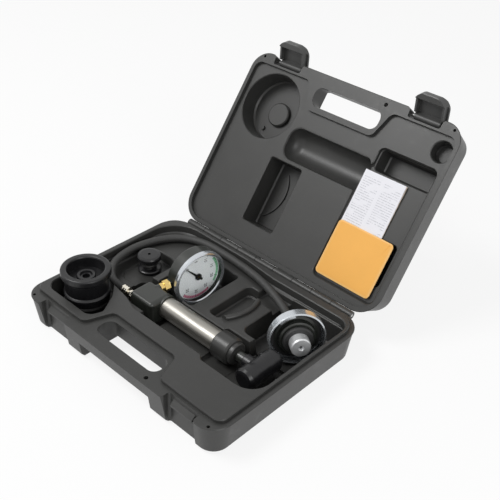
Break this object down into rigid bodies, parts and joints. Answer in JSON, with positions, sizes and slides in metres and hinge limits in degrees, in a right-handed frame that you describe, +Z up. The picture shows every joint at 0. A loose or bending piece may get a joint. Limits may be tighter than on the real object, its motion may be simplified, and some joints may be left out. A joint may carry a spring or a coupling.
{
  "type": "radiator pressure tester",
  "caption": "Cooling system pressure test kit in an open moulded case: hand pump with gauge, hose, cap adapter, tall and small adapters, folded papers.",
  "frame": {"origin": "centre of the case's underside, where it stands", "axes": "+X to the right along the hinge, +Y back towards the hinge, +Z up; stored with the lid open 126.4 degrees"},
  "size_m": [0.31, 0.4109, 0.25],
  "materials": {
    "case_plastic": "matt, fine moulded grain",
    "latch_plastic": "satin",
    "pump_black": "satin",
    "barrel_steel": "brushed round the tube",
    "pin_steel": "bright",
    "black_plastic": "satin",
    "hose_rubber": "matt",
    "seal_rubber": "matt",
    "nickel": "bright",
    "brass": "turned",
    "chrome": "bright",
    "stub_aluminium": "turned",
    "lens": "clear",
    "dial_white": "matt print",
    "needle_black": "matt",
    "paper_white": "uncoated paper",
    "paper_orange": "kraft paper"
  },
  "bodies": {
    "case_base": {"base_shell": "case_plastic", "hinge_pins": "pin_steel"},
    "case_lid": {"lid_shell": "case_plastic", "latch_pins": "pin_steel", "leaflet": "paper_white", "envelope": "paper_orange"},
    "latch_l": {"latch_left": "latch_plastic"},
    "latch_r": {"latch_right": "latch_plastic"},
    "tester": {"pump_head": "pump_black", "pump_barrel": "barrel_steel", "pump_collar": "black_plastic", "check_valve": "brass", "hose_fitting": "nickel", "hose_ferrules": "nickel", "gauge_case": "pump_black", "gauge_bezel": "chrome", "gauge_lens": "lens", "gauge_dial": "dial_white", "gauge_union": "brass", "cap_cup": "chrome", "cap_gasket": "seal_rubber", "cap_plate": "pump_black", "cap_seal": "seal_rubber", "cap_stub": "stub_aluminium", "cap_nipple": "brass", "hose": "hose_rubber"},
    "plunger": {"pump_rod": "pump_black", "pump_piston": "brass", "piston_seal": "seal_rubber", "pump_handle": "black_plastic"},
    "needle": {"gauge_pointer": "needle_black", "gauge_shaft": "brass"},
    "tall_adapter": {"tall_body": "black_plastic", "tall_seal": "seal_rubber", "tall_hub": "black_plastic"},
    "small_adapter": {"small_body": "black_plastic", "small_seal": "seal_rubber"}
  },
  "joints": [
    {"name": "lid_hinge", "type": "hinge", "parent": "case_base", "child": "case_lid", "pos_m": [0, 0.1222, 0.0374], "axis": [-1, 0, 0], "range_deg": [-126.4, 0], "deforming": ["leaflet", "envelope"]},
    {"name": "latch_left_hinge", "type": "hinge", "parent": "case_lid", "child": "latch_l", "pos_m": [-0.1023, 0.27052, 0.21802], "axis": [-1, 0, 0], "range_deg": [-54, 66]},
    {"name": "latch_right_hinge", "type": "hinge", "parent": "case_lid", "child": "latch_r", "pos_m": [0.1023, 0.27052, 0.21802], "axis": [-1, 0, 0], "range_deg": [-54, 66]},
    {"name": "tester_lift", "type": "slide", "parent": "case_base", "child": "tester", "axis": [0, 0, 1], "range_m": [0, 0.06]},
    {"name": "plunger_slide", "type": "slide", "parent": "tester", "child": "plunger", "axis": [1, 0, 0], "range_m": [-0.011, 0.012]},
    {"name": "gauge_needle", "type": "hinge", "parent": "tester", "child": "needle", "pos_m": [-0.0342, 0.0466, 0.0382], "axis": [-0.991, 0.134, 0], "range_deg": [0, 270]},
    {"name": "tall_adapter_lift", "type": "slide", "parent": "case_base", "child": "tall_adapter", "axis": [0, 0, 1], "range_m": [0, 0.07]},
    {"name": "small_adapter_lift", "type": "slide", "parent": "case_base", "child": "small_adapter", "axis": [0, 0, 1], "range_m": [0, 0.05]}
  ]
}
